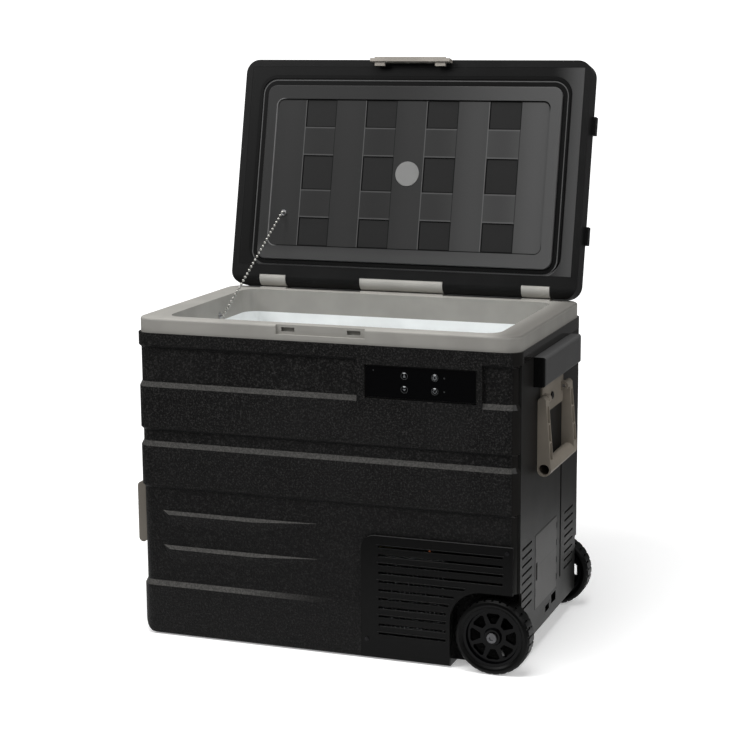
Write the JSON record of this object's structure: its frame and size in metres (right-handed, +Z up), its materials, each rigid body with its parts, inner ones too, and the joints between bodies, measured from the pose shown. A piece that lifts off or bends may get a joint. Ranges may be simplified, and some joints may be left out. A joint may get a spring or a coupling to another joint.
{
  "type": "compressor cooler fridge",
  "caption": "Wheeled chest cooler fridge with a hinged chain-stopped lid, front display, grille and vents, a folding carry handle and a tow handle.",
  "frame": {"origin": "middle of the whole object's footprint, on the floor", "axes": "+X to the wheeled end, +Y to the hinge side at the back, +Z up"},
  "size_m": [0.6676, 0.497, 0.9134],
  "materials": {
    "shell_black": "coarse hammered texture",
    "panel_black": "smooth satin",
    "grille_black": "smooth, fine grain",
    "rim_grey": "satin grey",
    "handle_grey": "satin warm grey",
    "liner_white": "smooth white",
    "lid_black": "satin black",
    "gasket_black": "soft rubber",
    "foam": "rigid insulation foam",
    "plug_grey": "satin grey",
    "steel": "plain steel",
    "chain_steel": "bright bead chain",
    "display_black": "gloss black",
    "board": "green circuit board",
    "tyre_black": "semi-gloss black rubber",
    "hub_black": "gloss black",
    "foot_rubber": "rubber",
    "tray_metal": "zinc-grey sheet",
    "compressor_black": "black painted can",
    "fin_aluminium": "bare fins",
    "copper": "copper pipe",
    "contact_brass": "bare contacts"
  },
  "bodies": {
    "cabinet": {"outer_shell": "shell_black", "rim_frame": "rim_grey", "liner": "liner_white", "evaporator": "fin_aluminium", "insulation_foam": "foam", "hinge_block_left": "rim_grey", "hinge_block_centre": "rim_grey", "hinge_block_right": "rim_grey", "hinge_pins": "steel", "rim_chain_anchor": "steel", "right_side_panel": "panel_black", "door_hinge_pins": "steel", "battery_tray": "panel_black", "dc_inlet": "grille_black", "ac_inlet": "grille_black", "inlet_contacts": "contact_brass", "handle_housing": "panel_black", "handle_bracket": "handle_grey", "bracket_screw": "steel", "handle_pins": "steel", "tow_brackets": "rim_grey", "tow_pins": "steel", "front_grille": "grille_black", "grille_screws": "steel", "display_bezel": "grille_black", "display_window": "display_black", "control_board": "board", "axle": "steel", "axle_bolts": "steel", "axle_brackets": "grille_black", "feet": "foot_rubber", "base_tray": "tray_metal", "compressor": "compressor_black", "compressor_mounts": "foot_rubber", "condenser": "fin_aluminium", "fan_frame": "grille_black", "control_box": "fin_aluminium", "refrigerant_lines": "copper"},
    "lid": {"lid_cover": "lid_black", "lid_inner_panel": "lid_black", "lid_gasket": "gasket_black", "lid_foam": "foam", "foam_plug": "plug_grey", "latch_pin": "steel", "lid_chain_anchor": "steel", "lid_chain": "chain_steel"},
    "latch": {"latch_lever": "handle_grey"},
    "carry_handle_arm": {"carry_handle": "handle_grey"},
    "tow_handle_arm": {"tow_handle": "handle_grey"},
    "front_wheel": {"front_wheel_hub": "hub_black", "front_wheel_tyre": "tyre_black"},
    "rear_wheel": {"rear_wheel_hub": "hub_black", "rear_wheel_tyre": "tyre_black"},
    "fan": {"fan_rotor": "grille_black"},
    "battery_cover": {"battery_door": "panel_black"},
    "up_button": {"button_up": "display_black"},
    "down_button": {"button_down": "display_black"},
    "mode_button": {"button_mode": "display_black"},
    "power_button": {"button_power": "display_black"}
  },
  "joints": [
    {"name": "lid_hinge", "type": "hinge", "parent": "cabinet", "child": "lid", "pos_m": [0.00325, 0.13456, 0.5363], "axis": [1, 0, 0], "range_deg": [0, 103.4], "deforming": ["lid_chain"]},
    {"name": "latch_hinge", "type": "hinge", "parent": "lid", "child": "latch", "pos_m": [-0.00375, 0.22952, 0.89953], "axis": [1, 0, 0], "range_deg": [-55, 0]},
    {"name": "carry_handle_hinge", "type": "hinge", "parent": "cabinet", "child": "carry_handle_arm", "pos_m": [0.31845, -0.04854, 0.4025], "axis": [0, -1, 0], "range_deg": [0, 90]},
    {"name": "tow_handle_hinge", "type": "hinge", "parent": "cabinet", "child": "tow_handle_arm", "pos_m": [-0.32655, -0.04654, 0.2375], "axis": [0, 1, 0], "range_deg": [0, 95]},
    {"name": "front_wheel_spin", "type": "hinge", "parent": "cabinet", "child": "front_wheel", "pos_m": [0.27475, -0.23104, 0.0585], "axis": [0, 1, 0], "continuous": true},
    {"name": "rear_wheel_spin", "type": "hinge", "parent": "cabinet", "child": "rear_wheel", "pos_m": [0.27475, 0.13796, 0.0585], "axis": [0, 1, 0], "continuous": true},
    {"name": "fan_spin", "type": "hinge", "parent": "cabinet", "child": "fan", "pos_m": [0.13425, -0.18454, 0.064], "axis": [0, 1, 0], "continuous": true},
    {"name": "battery_door_hinge", "type": "hinge", "parent": "cabinet", "child": "battery_cover", "pos_m": [0.31025, -0.00354, 0.1315], "axis": [0, 0, 1], "range_deg": [0, 110]},
    {"name": "up_button_press", "type": "slide", "parent": "cabinet", "child": "up_button", "axis": [0, 1, 0], "range_m": [0, 0.0008], "stiffness_N_per_m": 300},
    {"name": "down_button_press", "type": "slide", "parent": "cabinet", "child": "down_button", "axis": [0, 1, 0], "range_m": [0, 0.0008], "stiffness_N_per_m": 300},
    {"name": "mode_button_press", "type": "slide", "parent": "cabinet", "child": "mode_button", "axis": [0, 1, 0], "range_m": [0, 0.0008], "stiffness_N_per_m": 300},
    {"name": "power_button_press", "type": "slide", "parent": "cabinet", "child": "power_button", "axis": [0, 1, 0], "range_m": [0, 0.0008], "stiffness_N_per_m": 300}
  ]
}
